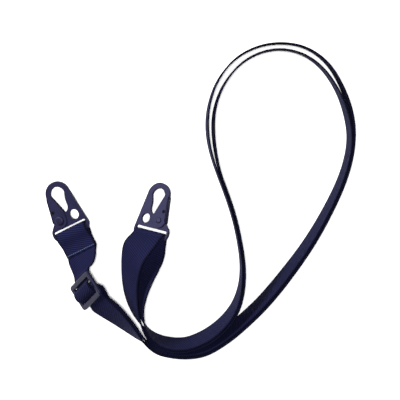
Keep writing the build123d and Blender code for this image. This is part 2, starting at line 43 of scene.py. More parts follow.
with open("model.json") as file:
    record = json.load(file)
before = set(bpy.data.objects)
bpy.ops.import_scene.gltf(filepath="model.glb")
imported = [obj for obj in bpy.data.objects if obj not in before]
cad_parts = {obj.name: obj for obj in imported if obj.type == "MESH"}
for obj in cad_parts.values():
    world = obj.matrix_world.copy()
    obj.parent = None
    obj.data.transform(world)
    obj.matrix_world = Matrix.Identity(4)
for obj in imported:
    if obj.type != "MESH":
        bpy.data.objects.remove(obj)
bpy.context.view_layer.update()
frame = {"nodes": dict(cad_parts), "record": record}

MM = 0.001
MERGE_METRES = 1e-7
MERGE_MILLIMETRES = 1e-4
LEVEL_MILLIMETRES = 1e-6
SHARPEST_SMOOTH_RIM = 0.8
FACES_SEAT = 0.999
RoutePoint = tuple[float, float, float, float]
Route = tuple[RoutePoint, ...]
Colour = tuple[float, float, float, float]


class Body(Enum):
    """The bodies that a piece can ride on."""

    STRAP = "strap"
    SLIDER = "slider"
    CLIP_A = "clip_a"
    CLIP_B = "clip_b"
    GATE_A = "gate_a"
    GATE_B = "gate_b"


class Slot(Enum):
    """The record's material slots."""

    WEBBING = "webbing"
    THREAD = "thread"
    COATED = "coated_steel"
    RIVET = "rivet_steel"
    # Painted shade: near-black material for what sits at the bottom of a hole.
    HOLE_SHADE = "dark_steel"
    SPRING = "spring_steel"
    MOULDED = "slider_plastic"


# ---------------------------------------------------------------- shader maths
class Term:
    """One output socket in a material, with arithmetic that adds Math nodes."""

    def __init__(self, shader: "Shader", socket: bpy.types.NodeSocket) -> None:
        """Keeps the socket and the shader that it belongs to."""
        self.shader = shader
        self.socket = socket

    def _math(self, operation: str, *others: object) -> "Term":
        """Adds one Math node whose first input is this.

        Args:
            operation: the Math node's operation.
            others: numbers or terms for its other inputs.

        Returns:
            The node's result.
        """
        return self.shader.math(operation, self, *others)

    def __add__(self, other: object) -> "Term":
        """This plus other."""
        return self._math("ADD", other)

    def __radd__(self, other: object) -> "Term":
        """Other plus this."""
        return self.shader.math("ADD", other, self)

    def __sub__(self, other: object) -> "Term":
        """This minus other."""
        return self._math("SUBTRACT", other)

    def __rsub__(self, other: object) -> "Term":
        """Other minus this."""
        return self.shader.math("SUBTRACT", other, self)

    def __mul__(self, other: object) -> "Term":
        """This times other."""
        return self._math("MULTIPLY", other)

    def wave(self, pitch: float) -> "Term":
        """A sine wave between 0 and 1 that repeats at every pitch."""
        return (self * (2 * math.pi / pitch))._math("SINE") * 0.5 + 0.5

    def absolute(self) -> "Term":
        """Size of this without its sign."""
        return self._math("ABSOLUTE")

    def clamped(self) -> "Term":
        """This, held between 0 and 1."""
        return self._math("MAXIMUM", 0.0)._math("MINIMUM", 1.0)

    def step_up(self, low: float, high: float) -> "Term":
        """Smooth rise from 0 at low to 1 at high."""
        settings = {"interpolation_type": "SMOOTHSTEP"}
        return self.shader.node("ShaderNodeMapRange", settings, self, low, high, 0.0, 1.0)


class Shader:
    """A material being made: its nodes, and the Principled shader at the end."""

    def __init__(self, name: str) -> None:
        """Starts an empty material of that name."""
        self.material = bpy.data.materials.new(name)
        self.material.use_nodes = True
        self.tree = self.material.node_tree
        self.tree.nodes.clear()

    def node(self, kind: str, settings: dict[str, object] | None = None,
             *values: object, output: int | str = 0) -> Term:
        """Adds a node of any kind.

        Args:
            kind: the node's type.
            settings: its properties, set before its inputs.
            values: a number, colour or term for each input in turn, None to leave one alone.
            output: which of its outputs to return.

        Returns:
            The chosen output.
        """
        made = self.tree.nodes.new(kind)
        for key, value in (settings or {}).items():
            setattr(made, key, value)
        sockets = [s for s in made.inputs if s.enabled]
        for socket, value in zip(sockets, values):
            self.feed(socket, value)
        return Term(self, made.outputs[output])

    def math(self, operation: str, *values: object) -> Term:
        """Adds one Math node with those numbers or terms as its inputs."""
        return self.node("ShaderNodeMath", {"operation": operation}, *values)

    def feed(self, socket: bpy.types.NodeSocket, value: object) -> None:
        """Links a term to a socket, or sets the socket's own value."""
        if isinstance(value, Term):
            self.tree.links.new(value.socket, socket)
        elif value is not None:
            socket.default_value = value

    def place(self) -> Term:
        """Object coordinates of the piece, in metres."""
        return self.node("ShaderNodeTexCoord", output="Object")

    def along_and_across(self, layer: str) -> tuple[Term, Term]:
        """The two numbers of a UV map, in metres.

        Args:
            layer: the UV map's name.

        Returns:
            The distance across and the distance along.
        """
        return self.split(self.node("ShaderNodeUVMap", {"uv_map": layer}))

    def split(self, where: Term) -> tuple[Term, Term]:
        """The x and y of a place."""
        node = self.node("ShaderNodeSeparateXYZ", None, where).socket.node
        return Term(self, node.outputs[0]), Term(self, node.outputs[1])

    def noise(self, where: Term, scale: float, detail: float = 3.0,
              roughness: float = 0.5) -> Term:
        """Noise between 0 and 1 at a place, with scale in cells per metre."""
        return self.node("ShaderNodeTexNoise", {"noise_dimensions": "3D"},
                         where, scale, detail, roughness)

    def mix(self, share: object, first: object, second: object) -> Term:
        """Mixes two colours.

        Args:
            share: how much of the second, from 0 to 1.
            first: a colour or a term.
            second: a colour or a term.

        Returns:
            The mixed colour.
        """
        made = self.tree.nodes.new("ShaderNodeMix")
        made.data_type = "RGBA"
        named = {s.identifier: s for s in made.inputs}
        self.feed(named["Factor_Float"], share)
        self.feed(named["A_Color"], first)
        self.feed(named["B_Color"], second)
        out = next(s for s in made.outputs if s.identifier == "Result_Color")
        return Term(self, out)

    def bump(self, height: Term, distance: float, strength: float = 1.0,
             under: Term | None = None) -> Term:
        """Turns a height into a normal.

        Args:
            height: the height, from 0 to 1.
            distance: how high 1 stands, in metres.
            strength: how much of it shows.
            under: a normal that this one lies on.

        Returns:
            The bumped normal.
        """
        made = self.tree.nodes.new("ShaderNodeBump")
        self.feed(made.inputs["Height"], height)
        made.inputs["Distance"].default_value = distance
        made.inputs["Strength"].default_value = strength
        if under is not None:
            self.feed(made.inputs["Normal"], under)
        return Term(self, made.outputs[0])

    def finish(self, **inputs: object) -> bpy.types.Material:
        """Adds the Principled shader and the output.

        Args:
            inputs: the shader's sockets, with underscores for the spaces in their names.

        Returns:
            The finished material.
        """
        shader = self.tree.nodes.new("ShaderNodeBsdfPrincipled")
        for name, value in inputs.items():
            self.feed(shader.inputs[name.replace("_", " ")], value)
        output = self.tree.nodes.new("ShaderNodeOutputMaterial")
        self.tree.links.new(shader.outputs[0], output.inputs[0])
        return self.material


def rgba(red: float, green: float, blue: float) -> Colour:
    """An opaque colour."""
    return (red, green, blue, 1.0)


# ---------------------------------------------------------------- finishes
@dataclass(frozen=True)
class WovenFinish:
    """Ribbed polyester webbing: raised slanting ribs, fine yarns and a tight selvedge."""

    shade: Colour = rgba(0.0002, 0.0002, 0.0015)
    lit: Colour = rgba(0.0118, 0.0128, 0.052)
    rib_pitch: float = 1.9 * MM
    rib_slant: float = 0.30
    yarn_pitch: float = 0.8 * MM
    rib_height: float = 0.16 * MM
    half_width: float = 16.0 * MM
    uv_layer: str = "weave"

    def make(self) -> bpy.types.Material:
        """Builds the material."""
        shader = Shader("woven_webbing")
        across, along = shader.along_and_across(self.uv_layer)
        sway = shader.noise(shader.place(), 160.0, 2.0)
        slanted = along + across * self.rib_slant + sway * (self.rib_pitch * 0.25)
        rib = slanted.wave(self.rib_pitch)
        counter = (along - across * (self.rib_slant * 0.6)).wave(self.rib_pitch * 0.5)
        yarn = across.wave(self.yarn_pitch)
        weave = rib * 0.72 + yarn * 0.16 + counter * 0.12
        edge = across.absolute().step_up(self.half_width - 2.0 * MM, self.half_width - 1.1 * MM)
        height = weave * (1 - edge * 0.55) + edge * 0.30
        fuzz = shader.noise(shader.place(), 1400.0, 2.0, 0.6)
        worn = shader.noise(shader.place(), 38.0, 3.0)
        tone = weave * 0.72 + fuzz * 0.20 + worn * 0.24 - 0.14 - edge * 0.30
        colour = shader.mix(tone.clamped(), self.shade, self.lit)
        normal = shader.bump(height, self.rib_height, 0.85)
        normal = shader.bump(fuzz, 0.05 * MM, 0.5, normal)
        rough = 0.86 - weave * 0.14 + fuzz * 0.08
        return shader.finish(Base_Color=colour, Roughness=rough, Normal=normal,
                             Sheen_Weight=0.015, Sheen_Roughness=0.4,
                             Sheen_Tint=rgba(0.30, 0.30, 0.9), Specular_IOR_Level=0.04)


@dataclass(frozen=True)
class ThreadFinish:
    """Twisted sewing thread."""

    shade: Colour = rgba(0.020, 0.040, 0.095)
    lit: Colour = rgba(0.075, 0.125, 0.24)
    ply_pitch: float = 0.45 * MM

    def make(self) -> bpy.types.Material:
        """Builds the material."""
        shader = Shader("sewing_thread")
        where = shader.place()
        x, y = shader.split(where)
        ply = (x + y * 1.4).wave(self.ply_pitch)
        tone = ply * 0.6 + shader.noise(where, 900.0) * 0.4
        return shader.finish(Base_Color=shader.mix(tone, self.shade, self.lit),
                             Roughness=0.62 - ply * 0.12,
                             Normal=shader.bump(ply, 0.05 * MM, 0.7),
                             Sheen_Weight=0.2)


@dataclass(frozen=True)
class CoatedFinish:
    """Steel under a matte baked coat: fine grain, faint blotches, polished high spots."""

    name: str = "coated_steel"
    shade: Colour = rgba(0.004, 0.0037, 0.016)
    lit: Colour = rgba(0.0135, 0.0123, 0.044)
    rough: float = 0.52

    def make(self) -> bpy.types.Material:
        """Builds the material."""
        shader = Shader(self.name)
        where = shader.place()
        grain = shader.noise(where, 2600.0, 2.0, 0.6)
        blotch = shader.noise(where, 120.0, 4.0, 0.6)
        scuff = shader.noise(where, 520.0, 5.0, 0.72).step_up(0.60, 0.74)
        tone = (grain * 0.25 + blotch * 0.85 - 0.05 + scuff * 0.25).clamped()
        return shader.finish(Base_Color=shader.mix(tone, self.shade, self.lit),
                             Metallic=0.35 + scuff * 0.1,
                             Roughness=self.rough + grain * 0.12 - scuff * 0.10,
                             Normal=shader.bump(grain, 0.03 * MM, 0.55),
                             Specular_IOR_Level=0.16)


@dataclass(frozen=True)
class HoleShadeFinish:
    """Painted shade: near-black steel at the bottom of a hole, dark like the hole's shade."""

    def make(self) -> bpy.types.Material:
        """Builds the material."""
        shader = Shader("dark_steel")
        grain = shader.noise(shader.place(), 1800.0)
        # Painted shade: both colours are near black, with random grain between them.
        colour = shader.mix(grain, rgba(0.0008, 0.0008, 0.001), rgba(0.003, 0.003, 0.004))
        return shader.finish(Base_Color=colour, Roughness=0.7 + grain * 0.1,
                             Specular_IOR_Level=0.06)


@dataclass(frozen=True)
class WireFinish:
    """Drawn spring wire."""

    def make(self) -> bpy.types.Material:
        """Builds the material."""
        shader = Shader("spring_wire")
        grain = shader.noise(shader.place(), 1500.0, 4.0)
        colour = shader.mix(grain, rgba(0.18, 0.18, 0.19), rgba(0.34, 0.34, 0.36))
        return shader.finish(Base_Color=colour, Metallic=1.0, Roughness=0.28 + grain * 0.15)


@dataclass(frozen=True)
class MouldedFinish:
    """Satin moulded nylon with a fine spark-eroded grain."""

    shade: Colour = rgba(0.002, 0.002, 0.010)
    lit: Colour = rgba(0.0058, 0.0060, 0.028)

    def make(self) -> bpy.types.Material:
        """Builds the material."""
        shader = Shader("moulded_nylon")
        where = shader.place()
        grain = shader.noise(where, 3200.0, 2.0, 0.65)
        cloud = shader.noise(where, 90.0, 3.0)
        tone = (grain * 0.3 + cloud * 0.8 - 0.05).clamped()
        return shader.finish(Base_Color=shader.mix(tone, self.shade, self.lit),
                             Roughness=0.44 + grain * 0.14,
                             Normal=shader.bump(grain, 0.04 * MM, 0.5),
                             Specular_IOR_Level=0.20)


@dataclass(frozen=True)
class TableFinish:
    """Pale matte floor."""

    def make(self) -> bpy.types.Material:
        """Builds the material."""
        shader = Shader("pale_floor")
        speck = shader.noise(shader.place(), 60.0)
        colour = shader.mix(speck, rgba(0.80, 0.80, 0.80), rgba(0.82, 0.82, 0.82))
        return shader.finish(Base_Color=colour, Roughness=0.9)


@dataclass
class Wardrobe:
    """Every finish, made once and shared by the pieces."""

    made: dict[Slot, bpy.types.Material] = field(default_factory=dict)

    def fill(self) -> None:
        """Makes each slot's material."""
        finishes = {
            Slot.WEBBING: WovenFinish(),
            Slot.THREAD: ThreadFinish(),
            Slot.COATED: CoatedFinish(),
            Slot.RIVET: CoatedFinish(name="rivet_steel", shade=rgba(0.004, 0.0036, 0.015),
                                     lit=rgba(0.0125, 0.0112, 0.038), rough=0.46),
            # Painted shade for the bottom of a hole.
            Slot.HOLE_SHADE: HoleShadeFinish(),
            Slot.SPRING: WireFinish(),
            Slot.MOULDED: MouldedFinish(),
        }
        for slot, finish in finishes.items():
            self.made[slot] = finish.make()

    def dress(self, piece: bpy.types.Object, slot: Slot) -> None:
        """Gives a piece the slot's material."""
        piece.data.materials.clear()
        piece.data.materials.append(self.made[slot])

    def dress_frame(self) -> None:
        """Gives every CAD node the material of its slot in the record."""
        slots = {s["node"]: s["material_slot"] for s in frame["record"]["subparts"]}
        for name, node in frame["nodes"].items():
            node.data.materials.clear()
            node.data.materials.append(self.made[Slot(slots[name])])


# ---------------------------------------------------------------- mesh helpers
def new_piece(name: str, mesh: bmesh.types.BMesh, smooth: bool = True) -> bpy.types.Object:
    """Turns a bmesh into an object at the origin.

    Args:
        name: the piece's name.
        mesh: its shape, which is freed.
        smooth: whether its faces are shaded smooth.

    Returns:
        The new object.
    """
    data = bpy.data.meshes.new(name)
    for face in mesh.faces:
        face.smooth = smooth
    mesh.to_mesh(data)
    mesh.free()
    piece = bpy.data.objects.new(name, data)
    bpy.context.scene.collection.objects.link(piece)
    return piece


def smooth_line(points: Sequence[Vector], resolution: int) -> list[Vector]:
    """Points along the NURBS line that the given points pull.

    Args:
        points: the control points.
        resolution: points read for each control point.

    Returns:
        The points read from the line.
    """
    curve = bpy.data.curves.new("line", "CURVE")
    curve.dimensions = "3D"
    spline = curve.splines.new("NURBS")
    spline.points.add(len(points) - 1)
    for knot, point in zip(spline.points, points):
        knot.co = (*point, 1.0)
    spline.order_u = 3
    spline.use_endpoint_u = True
    spline.resolution_u = resolution
    holder = bpy.data.objects.new("line", curve)
    mesh = bpy.data.meshes.new_from_object(holder)
    read = [vertex.co.copy() for vertex in mesh.vertices]
    bpy.data.meshes.remove(mesh)
    bpy.data.objects.remove(holder)
    bpy.data.curves.remove(curve)
    return read


def beside(items: Sequence, index: int) -> tuple:
    """The items before and after one in a line, or itself where the line ends."""
    return items[max(index - 1, 0)], items[min(index + 1, len(items) - 1)]


def skin(mesh: bmesh.types.BMesh, rings: Sequence[Sequence[bmesh.types.BMVert]]) -> None:
    """Joins rings of corners into one closed skin.

    Args:
        mesh: the mesh that holds the corners.
        rings: the rings, with as many corners each.
    """
    for near, far in zip(rings, rings[1:]):
        for index in range(len(near)):
            after = (index + 1) % len(near)
            mesh.faces.new((near[index], near[after], far[after], far[index]))
    for ring in (rings[0], rings[-1]):
        mesh.faces.new(ring)
    bmesh.ops.recalc_face_normals(mesh, faces=mesh.faces[:])


@dataclass
class Station:
    """One place along the webbing."""

    centre: Vector
    across: Vector
    up: Vector
    along: float


def stations_between(lower: list[Vector], upper: list[Vector]) -> list[Station]:
    """Stations midway between the webbing's two edges.

    Args:
        lower: points along the lower edge.
        upper: as many points along the upper edge.

    Returns:
        One station for each pair of points.
    """
    centres = [(low + high) / 2 for low, high in zip(lower, upper)]
    found: list[Station] = []
    travelled = 0.0
    for index, centre in enumerate(centres):
        behind, ahead = beside(centres, index)
        if index:
            travelled += (centre - centres[index - 1]).length
        across = (upper[index] - lower[index]).normalized()
        up = (ahead - behind).cross(across).normalized()
        found.append(Station(centre, across, up, travelled))
    return found


def line_length(stations: Sequence[Station]) -> float:
    """Length of the webbing through the stations, in metres."""
    return stations[-1].along - stations[0].along


@dataclass
class Webbing:
    """Flat woven webbing: how wide and thick it is, and how it is made through stations."""

    width: float = 32.0 * MM
    thickness: float = 1.4 * MM
    flats: int = 14
    rounds: int = 4

    def outline(self) -> list[tuple[float, float]]:
        """The webbing's cut end: two flat faces joined by round selvedges."""
        radius = self.thickness / 2
        half = self.width / 2 - radius
        face = [half - 2 * half * step / self.flats for step in range(self.flats + 1)]
        points = [(across, radius) for across in face]
        for step in range(1, self.rounds):
            angle = math.pi / 2 + math.pi * step / self.rounds
            points.append((-half + radius * math.cos(angle), radius * math.sin(angle)))
        points += [(-across, -radius) for across in face]
        for step in range(1, self.rounds):
            angle = -math.pi / 2 + math.pi * step / self.rounds
            points.append((half + radius * math.cos(angle), radius * math.sin(angle)))
        return points

    def make(self, name: str, stations: Sequence[Station]) -> bpy.types.Object:
        """Builds the webbing through the stations as one closed skin.

        Args:
            name: the piece's name.
            stations: the places that it passes.

        Returns:
            The new piece, with its weave's UV map.
        """
        outline = self.outline()
        rows, columns = len(stations), len(outline)
        mesh = bmesh.new()
        across_layer = mesh.verts.layers.float.new("across")
        along_layer = mesh.verts.layers.float.new("along")
        bmesh.ops.create_grid(mesh, x_segments=columns, y_segments=rows - 1, size=1.0)
        for vertex in mesh.verts:
            column = round((vertex.co.x + 1) / 2 * columns) % columns
            row = round((vertex.co.y + 1) / 2 * (rows - 1))
            across, height = outline[column]
            station = stations[row]
            vertex[across_layer] = across
            vertex[along_layer] = station.along
            vertex.co = station.centre + station.across * across + station.up * height
        bmesh.ops.remove_doubles(mesh, verts=mesh.verts[:], dist=MERGE_METRES)
        rims = [edge for edge in mesh.edges if edge.is_boundary]
        bmesh.ops.holes_fill(mesh, edges=rims, sides=0)
        bmesh.ops.recalc_face_normals(mesh, faces=mesh.faces[:])
        weave = mesh.loops.layers.uv.new(WovenFinish.uv_layer)
        for face in mesh.faces:
            for loop in face.loops:
                loop[weave].uv = (loop.vert[across_layer], loop.vert[along_layer])
        return new_piece(name, mesh)


# ---------------------------------------------------------------- placing
@dataclass
class Seat:
    """A place with its own directions: x and y in its face, z out of it."""

    origin: Vector
    x: Vector
    y: Vector
    z: Vector

    def at(self, x: float, y: float, z: float = 0.0) -> Vector:
        """The point at those distances from the origin, in metres."""
        return self.origin + self.x * x + self.y * y + self.z * z

    def matrix(self) -> Matrix:
        """The turn and move that bring a shape from the origin to this place."""
        turn = Matrix((self.x, self.y, self.z)).transposed()
        return Matrix.Translation(self.origin) @ turn.to_4x4()


def joint_named(name: str) -> dict[str, object]:
    """The record's joint of that name."""
    return next(j for j in frame["record"]["behaviour"]["joints"] if j["name"] == name)


def clip_seat(letter: str) -> Seat:
    """Where a clip lies, from its two joints' axes.

    Args:
        letter: a or b.

    Returns:
        The seat: x along the webbing bar, y towards the hook, z out of the rivet's head.
    """
    swing = joint_named(f"clip_{letter}_swing")
    normal = -Vector(joint_named(f"gate_{letter}_open")["axis"])
    bar = Vector(swing["axis"])
    if letter == "b":
        bar = -bar
    return Seat(Vector(swing["pos_m"]), bar, normal.cross(bar), normal)


def across_webbing(tangent: Vector, lean: float) -> Vector:
    """Direction from the lower to the upper edge of webbing that leans by lean degrees."""
    left = Vector((-tangent.y, tangent.x, 0)).normalized()
    up = tangent.cross(left).normalized()
    angle = math.radians(lean)
    return left * math.cos(angle) + up * math.sin(angle)


# ---------------------------------------------------------------- the strap
@dataclass
class Strap:
    """The webbing: its fold at clip A, the tab, the slider's turns and the double loop."""

    wardrobe: Wardrobe
    webbing: Webbing = field(default_factory=Webbing)
    layer_pitch: float = 2.3 * MM
    rest_gap: float = 0.1 * MM
    bend: float = 3.82 * MM
    bight_leg: float = 3.0 * MM
    bight_steps: int = 22
    fold_length: float = 19.0 * MM
    seat_place: tuple[float, float, float] = (-0.0985, -0.0786, 0.0166)
    seat_lean: float = 57.0
    return_splay: float = 32.0
    run_splay: float = -14.0
    resolution: int = 8
    profile_resolution: int = 10

    tab_route: Route = (
        (-0.1054, -0.0506, 29, 0.0026),
        (-0.1040, -0.0566, 37, 0.0019),
        (-0.1040, -0.0623, 47, 0.0008),
    )
    up_right_side: Route = (
        (-0.0804, -0.0998, 61, 0.0040),
        (-0.0719, -0.1067, 67, 0.0026),
        (-0.0619, -0.1160, 76, 0.0012),
        (-0.0505, -0.1272, 89, 0),
        (-0.0394, -0.1336, 101, 0),
        (-0.0268, -0.1356, 107, 0),
        (-0.0106, -0.1362, 110, 0),
        (0.0056, -0.1336, 110, 0),
        (0.0259, -0.1208, 109, 0),
        (0.0420, -0.1070, 108, 0),
        (0.0587, -0.0910, 107, 0),
        (0.0781, -0.0676, 106, 0),
        (0.1016, -0.0353, 103, 0),
        (0.1222, 0.0025, 100, 0),
        (0.1331, 0.0300, 98, 0),
        (0.1376, 0.0550, 97, 0),
    )
    over_top: Route = (
        (0.1362, 0.0769, 96, 0),
        (0.1292, 0.0996, 94, 0),
        (0.1156, 0.1238, 92, 0),
        (0.0955, 0.1385, 90, 0),
        (0.0728, 0.1422, 90, 0),
        (0.0511, 0.1388, 90, 0),
        (0.0306, 0.1276, 90, 0),
        (0.0152, 0.1082, 88, 0),
        (0.0077, 0.0860, 87, 0),
        (0.0061, 0.0661, 86, 0),
        (0.0088, 0.0460, 87, 0),
    )
    over_top_inside: Route = (
        (0.1319, 0.0774, 96, 0),
        (0.1239, 0.0992, 94, 0),
        (0.1102, 0.1196, 92, 0),
        (0.0928, 0.1323, 90, 0),
        (0.0727, 0.1367, 90, 0),
        (0.0534, 0.1333, 90, 0),
        (0.0352, 0.1226, 90, 0),
        (0.0208, 0.1044, 88, 0),
        (0.0132, 0.0844, 87, 0),
        (0.0116, 0.0661, 86, 0),
        (0.0134, 0.0464, 87, 0),
    )
    down_left_side: Route = (
        (0.0156, 0.0248, 88, 0),
        (0.0233, 0.0050, 88, 0),
        (0.0302, -0.0162, 88, 0),
        (0.0347, -0.0370, 88, 0),
        (0.0375, -0.0560, 87, 0),
        (0.0371, -0.0740, 85, 0),
        (0.0331, -0.0905, 80, 0),
        (0.0261, -0.1030, 75, 0),
        (0.0166, -0.1132, 72, 0),
        (0.0051, -0.1216, 70, 0),
    )
    run_to_clip: Route = (
        (-0.0089, -0.1276, 70, 0),
        (-0.0191, -0.1288, 70, 0),
        (-0.0295, -0.1276, 71, 0),
        (-0.0389, -0.1238, 76, 0),
        (-0.0461, -0.1174, 84, 0),
        (-0.0511, -0.1080, 93, 0),
        (-0.0533, -0.0970, 101, 0),
        (-0.0526, -0.0860, 108, 0),
        (-0.0502, -0.0747, 115, 0),
        (-0.0463, -0.0620, 125, 0),
        (-0.0433, -0.0520, 136, 0),
    )
    return_to_clip: Route = (
        (-0.0089, -0.1299, 70, 0),
        (-0.0195, -0.1311, 70, 0),
        (-0.0305, -0.1299, 71, 0),
        (-0.0407, -0.1256, 76, 0),
        (-0.0483, -0.1186, 84, 0),
        (-0.0539, -0.1088, 93, 0),
        (-0.0584, -0.0978, 103, 0),
        (-0.0612, -0.0868, 110, 0.0002),
        (-0.0626, -0.0760, 115, 0.0010),
        (-0.0625, -0.0660, 120, 0.0033),
        (-0.0616, -0.0566, 126, 0.0070),
        (-0.0597, -0.0480, 135, 0.0114),
        (-0.0560, -0.0412, 143, 0.0139),
    )

    def __post_init__(self) -> None:
        """Works out the seats that the webbing is threaded through."""
        travel = Vector(joint_named("slider_slide")["axis"])
        across = across_webbing(travel, self.seat_lean)
        self.slider = Seat(Vector(self.seat_place), travel, across, travel.cross(across))
        self.clip_a = clip_seat("a")
        self.clip_b = clip_seat("b")

    def rest_height(self, lean: float) -> float:
        """Height of the webbing's middle when its lower edge touches the surface."""
        angle = math.radians(lean)
        upright = self.webbing.width / 2 * abs(math.sin(angle))
        return upright + self.webbing.thickness / 2 * abs(math.cos(angle)) + self.rest_gap

    def place_of(self, point: RoutePoint) -> Vector:
        """The webbing's middle at a route point."""
        x, y, lean, lift = point
        return Vector((x, y, self.rest_height(lean) + lift))

    def beside_slider(self, along: float, below: float = 0.0) -> RoutePoint:
        """Route point on the straight webbing at the slider."""
        place = self.slider.at(along, 0, -below)
        return (place.x, place.y, self.seat_lean, place.z - self.rest_height(self.seat_lean))

    def beside_clip(self, seat: Seat, away: float, height: float, splay: float,
                    travel_sign: int) -> RoutePoint:
        """Route point on the webbing that leaves a clip's bar.

        Args:
            seat: the clip's seat.
            away: distance from the bar, in metres.
            height: height of the webbing's middle above the bar's axis, in metres.
            splay: how steeply it leaves the clip's plane upwards, in degrees.
            travel_sign: 1 when the route goes away from the clip, -1 towards it.

        Returns:
            The route point.
        """
        side = 1 if seat.z.z > 0 else -1
        angle = math.radians(splay)
        leaving = seat.y * -math.cos(angle) + seat.z * (side * math.sin(angle))
        square = seat.y * math.sin(angle) + seat.z * (side * math.cos(angle))
        place = seat.origin + leaving * away + square * height
        travel = leaving * travel_sign
        left = Vector((-travel.y, travel.x, 0)).normalized()
        raised = seat.x * side
        lean = math.degrees(math.atan2(raised.dot(travel.cross(left)), raised.dot(left)))
        return (place.x, place.y, lean, place.z - self.rest_height(lean))

    def moved_left(self, points: Sequence[RoutePoint]) -> list[RoutePoint]:
        """The route of the layer that lies beside the given one, on its left."""
        moved = []
        for index, (x, y, lean, lift) in enumerate(points):
            before, after = beside(points, index)
            run = Vector((after[0] - before[0], after[1] - before[1])).normalized()
            sideways = self.layer_pitch / math.sin(math.radians(lean))
            moved.append((x - run.y * sideways, y + run.x * sideways, lean, lift))
        return moved

    def follow(self, route: Sequence[RoutePoint]) -> list[Station]:
        """Stations along the smooth line of a route."""
        places = [self.place_of(point) for point in route]
        lower, upper = [], []
        for index, point in enumerate(route):
            behind, ahead = beside(places, index)
            half = across_webbing((ahead - behind).normalized(), point[2]) * self.webbing.width / 2
            lower.append(places[index] - half)
            upper.append(places[index] + half)
        return stations_between(smooth_line(lower, self.resolution),
                                smooth_line(upper, self.resolution))

    def straight_edged(self, line: Sequence[Vector], across: Vector) -> list[Station]:
        """Stations along a line whose webbing always faces the same way."""
        half = across * (self.webbing.width / 2)
        return stations_between([p - half for p in line], [p + half for p in line])

    def woven(self, name: str, stations: Sequence[Station]) -> bpy.types.Object:
        """Webbing through the stations, in its own material."""
        piece = self.webbing.make(name, stations)
        self.wardrobe.dress(piece, Slot.WEBBING)
        return piece

    def through_slider(self, name: str, profile: Sequence[tuple[float, float]]) -> bpy.types.Object:
        """Webbing along a smooth line that is drawn in the slider's side view.

        Args:
            name: the piece's name.
            profile: distance along and height above the slider's seat, in millimetres.

        Returns:
            The new piece.
        """
        middle = [self.slider.at(s * MM, 0, n * MM) for s, n in profile]
        line = smooth_line(middle, self.profile_resolution)
        return self.woven(name, self.straight_edged(line, self.slider.y))

    def at_clip_b(self, height: float, splay: float) -> list[RoutePoint]:
        """The last straight route points before clip B's bar."""
        return [self.beside_clip(self.clip_b, self.bight_leg + away, height, splay, -1)
                for away in (6.0 * MM, 3.0 * MM, 0.0)]

    def make_running_layer(self) -> bpy.types.Object:
        """The layer that runs from the slider round the loop to clip B."""
        route = [self.beside_slider(s * MM) for s in (12.0, 14.0, 17.5)]
        route += [*self.up_right_side, *self.over_top, *self.down_left_side, *self.run_to_clip]
        route += self.at_clip_b(-self.bend, self.run_splay)
        return self.make_cord("running_webbing", "running_layer", route)

    def make_return_layer(self) -> bpy.types.Object:
        """The layer that comes back from clip B to the slider."""
        route = [self.beside_slider(s * MM, self.layer_pitch) for s in (15.8, 17.0)]
        route += [*self.moved_left(self.up_right_side), *self.over_top_inside]
        route += [*self.moved_left(self.down_left_side), *self.return_to_clip]
        route += self.at_clip_b(self.bend, self.return_splay)
        return self.make_cord("return_webbing", "return_layer", route)

    def make_cord(self, name: str, node: str, route: Sequence[RoutePoint]) -> bpy.types.Object:
        """One long free layer of webbing.

        Args:
            name: the piece's name.
            node: the CAD node that it stands for.
            route: its route points.

        Returns:
            The new piece.
        """
        stations = self.follow(route)
        piece = self.woven(name, stations)
        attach(piece, Body.STRAP.value)
        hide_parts(node)
        line_length(stations)
        log.info("%s: %.3f m long", name, line_length(stations))
        return piece

    def make_bight(self) -> bpy.types.Object:
        """The turn of the webbing round clip B's bar, between its two splayed legs."""
        seat = self.clip_b
        side = 1 if seat.z.z > 0 else -1
        up, low = math.radians(self.return_splay), math.radians(self.run_splay)
        profile = []
        for step in range(self.bight_steps + 1):
            angle = (math.pi / 2 + up) + (math.pi - up + low) * step / self.bight_steps
            profile.append((-self.bend * math.cos(angle), self.bend * math.sin(angle)))
        for angle, end, spot in ((up, 0, 0), (low, -1, len(profile) + 1)):
            y, z = profile[end]
            leg = (y - self.bight_leg * math.cos(angle), z + self.bight_leg * math.sin(angle))
            profile.insert(spot, leg)
        middle = [seat.at(0, y, z * side) for y, z in profile]
        piece = self.woven("clip_b_turn", self.straight_edged(middle, seat.x))
        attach(piece, Body.STRAP.value)
        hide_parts("clip_b_bight")
        return piece

    def make_tab(self) -> bpy.types.Object:
        """The webbing from its sewn end, round clip A's bar and down to the slider."""
        seat, bend = self.clip_a, self.bend
        half = self.webbing.thickness / 2
        end = -self.fold_length
        reach = bend * 1.25
        profile = [(end, half), (end * 0.8, half), (end * 0.62, half), (end * 0.45, half * 1.6),
                   (-bend * 0.6, bend), (reach * 0.2, bend * 1.02), (reach, bend * 0.75),
                   (reach, -bend * 0.75), (reach * 0.2, -bend * 1.02), (-bend * 0.6, -bend),
                   (end * 0.45, -half * 1.6), (end * 0.62, -half), (end * 0.85, -half)]
        middle = [seat.at(0, y, z) for y, z in profile]
        across = [-seat.x for _ in middle]
        leave = [self.beside_clip(seat, self.fold_length, -half, 0.0, 1), *self.tab_route]
        straight = [self.beside_slider(s * MM) for s in (-14.6, -13.8, -12.9)]
        heading_in = -seat.y
        for index, point in enumerate([*leave, *straight]):
            share = min(index / (len(self.tab_route) + 1), 1.0)
            heading = heading_in.lerp(self.slider.x, share).normalized()
            middle.append(self.place_of(point))
            across.append(across_webbing(heading, point[2]))
        half_width = self.webbing.width / 2
        turned = [a if index >= len(profile) else -a for index, a in enumerate(across)]
        lower, upper = (smooth_line([m + a * out for m, a in zip(middle, turned)], self.resolution)
                        for out in (-half_width, half_width))
        piece = self.woven("tab_webbing", stations_between(lower, upper))
        self.slider.at(-28.0 * MM, 0)
        self.slider.at(-14.0 * MM, 0)
        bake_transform(piece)
        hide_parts("tab_fold", "tab_strap")
        return piece

